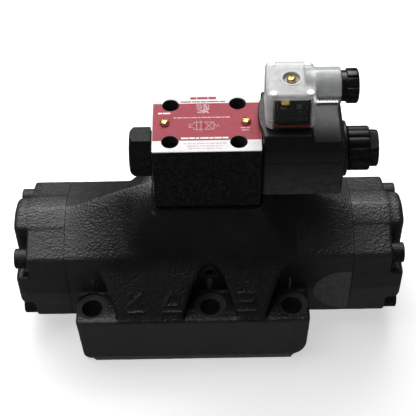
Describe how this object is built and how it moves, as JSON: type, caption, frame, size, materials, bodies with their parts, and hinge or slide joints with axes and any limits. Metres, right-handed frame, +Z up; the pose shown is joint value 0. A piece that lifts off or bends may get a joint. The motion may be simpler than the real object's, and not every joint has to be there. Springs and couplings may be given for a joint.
{
  "type": "solenoid directional valve",
  "caption": "Two-stage hydraulic directional valve: cast main stage with flanged base, solenoid pilot valve on top and a clear plug connector.",
  "frame": {"origin": "centre of the bounding box in X and Y, on the mounting face of the base (Z = 0)", "axes": "+Z up from the mounting face; X along the main and pilot spool axes, solenoid on the +X side; Y across the valve"},
  "size_m": [0.252, 0.1196, 0.1988],
  "materials": {
    "casting_paint": "semi-gloss black enamel over rough sand casting",
    "black_oxide_steel": "blackened steel screws, satin",
    "ground_steel": "ground and hardened",
    "spring_steel": "oil-tempered wire",
    "seal_rubber": "matte nitrile rubber",
    "pilot_paint": "satin black enamel over machined block",
    "plug_paint": "satin black hexagon",
    "nameplate_print": "red print on white foil plate, satin",
    "brass_screw": "bright passivated cross-head screws",
    "coil_plastic": "black moulding, fine eroded texture",
    "copper_wire": "enamelled copper winding",
    "red_gasket": "red silicone rubber",
    "carrier": "black insulating plate with plated blades",
    "clear_plastic": "clear polycarbonate, polished",
    "gloss_black": "glossy black moulding",
    "board": "brown laminate",
    "amber_lamp": "amber lens"
  },
  "bodies": {
    "valve": {"main_body": "casting_paint", "left_end_cap": "casting_paint", "right_end_cap": "casting_paint", "left_cap_bolt_1": "black_oxide_steel", "left_cap_bolt_2": "black_oxide_steel", "left_cap_bolt_3": "black_oxide_steel", "left_cap_bolt_4": "black_oxide_steel", "right_cap_bolt_1": "black_oxide_steel", "right_cap_bolt_2": "black_oxide_steel", "right_cap_bolt_3": "black_oxide_steel", "right_cap_bolt_4": "black_oxide_steel", "left_cap_seal": "seal_rubber", "right_cap_seal": "seal_rubber", "base_seal_p": "seal_rubber", "base_seal_a": "seal_rubber", "base_seal_b": "seal_rubber", "base_seal_t": "seal_rubber", "base_seal_x": "seal_rubber", "base_seal_y": "seal_rubber", "base_seal_l": "seal_rubber", "gallery_plug": "black_oxide_steel", "pilot_body": "pilot_paint", "nameplate": "nameplate_print", "nameplate_screw_left": "brass_screw", "nameplate_screw_right": "brass_screw", "pilot_bolt_1": "black_oxide_steel", "pilot_bolt_2": "black_oxide_steel", "pilot_bolt_3": "black_oxide_steel", "pilot_bolt_4": "black_oxide_steel", "pilot_seal_p": "seal_rubber", "pilot_seal_t": "seal_rubber", "pilot_seal_a": "seal_rubber", "pilot_seal_b": "seal_rubber", "pilot_end_plug": "plug_paint", "plug_seal": "seal_rubber", "guide_tube": "black_oxide_steel", "tube_seal": "seal_rubber", "coil_housing": "coil_plastic", "coil_winding": "copper_wire", "yoke_plate": "ground_steel", "coil_collar": "coil_plastic", "connector_gasket": "red_gasket", "pin_carrier": "carrier", "main_spring": "spring_steel", "pilot_spring": "spring_steel"},
    "main_spool_set": {"main_spool": "ground_steel", "main_spring_seat": "ground_steel"},
    "armature": {"armature": "ground_steel"},
    "pilot_spool_set": {"pilot_spool": "ground_steel", "pilot_spring_seat": "ground_steel"},
    "push_pin": {"push_pin": "ground_steel"},
    "manual_pin": {"manual_pin": "ground_steel"},
    "lock_nut": {"lock_nut": "coil_plastic"},
    "connector": {"connector_housing": "clear_plastic", "terminal_block": "gloss_black", "circuit_board": "board", "lamp": "amber_lamp", "cable_grommet": "seal_rubber"},
    "connector_screw": {"connector_screw": "brass_screw"},
    "gland_nut": {"gland_nut": "gloss_black"}
  },
  "joints": [
    {"name": "main_spool_slide", "type": "slide", "parent": "valve", "child": "main_spool_set", "axis": [-1, 0, 0], "range_m": [0, 0.012], "stiffness_N_per_m": 5000, "springref_m": -0.008, "deforming": ["main_spring"]},
    {"name": "armature_slide", "type": "slide", "parent": "valve", "child": "armature", "axis": [-1, 0, 0], "range_m": [0, 0.0036], "stiffness_N_per_m": 3000, "springref_m": -0.004},
    {"name": "pilot_spool_slide", "type": "slide", "parent": "valve", "child": "pilot_spool_set", "axis": [-1, 0, 0], "range_m": [0, 0.0036], "deforming": ["pilot_spring"]},
    {"name": "push_pin_slide", "type": "slide", "parent": "valve", "child": "push_pin", "axis": [-1, 0, 0], "range_m": [0, 0.0036]},
    {"name": "manual_pin_slide", "type": "slide", "parent": "valve", "child": "manual_pin", "axis": [-1, 0, 0], "range_m": [0, 0.0036]},
    {"name": "lock_nut_turn", "type": "hinge", "parent": "valve", "child": "lock_nut", "pos_m": [0.091, 0, 0.1376], "axis": [1, 0, 0], "continuous": true},
    {"name": "connector_pull", "type": "slide", "parent": "valve", "child": "connector", "axis": [0, 0, 1], "range_m": [0, 0.03]},
    {"name": "connector_screw_turn", "type": "hinge", "parent": "connector", "child": "connector_screw", "pos_m": [0.0493, 0, 0.1939], "axis": [0, 0, 1], "continuous": true},
    {"name": "gland_nut_turn", "type": "hinge", "parent": "connector", "child": "gland_nut", "pos_m": [0.0779, 0.0015, 0.1876], "axis": [1, 0, 0], "continuous": true}
  ],
  "couplings": [
    {"joint": "pilot_spool_slide", "follows": "armature_slide", "ratio": 1},
    {"joint": "push_pin_slide", "follows": "armature_slide", "ratio": 1},
    {"joint": "manual_pin_slide", "follows": "armature_slide", "ratio": 1}
  ]
}
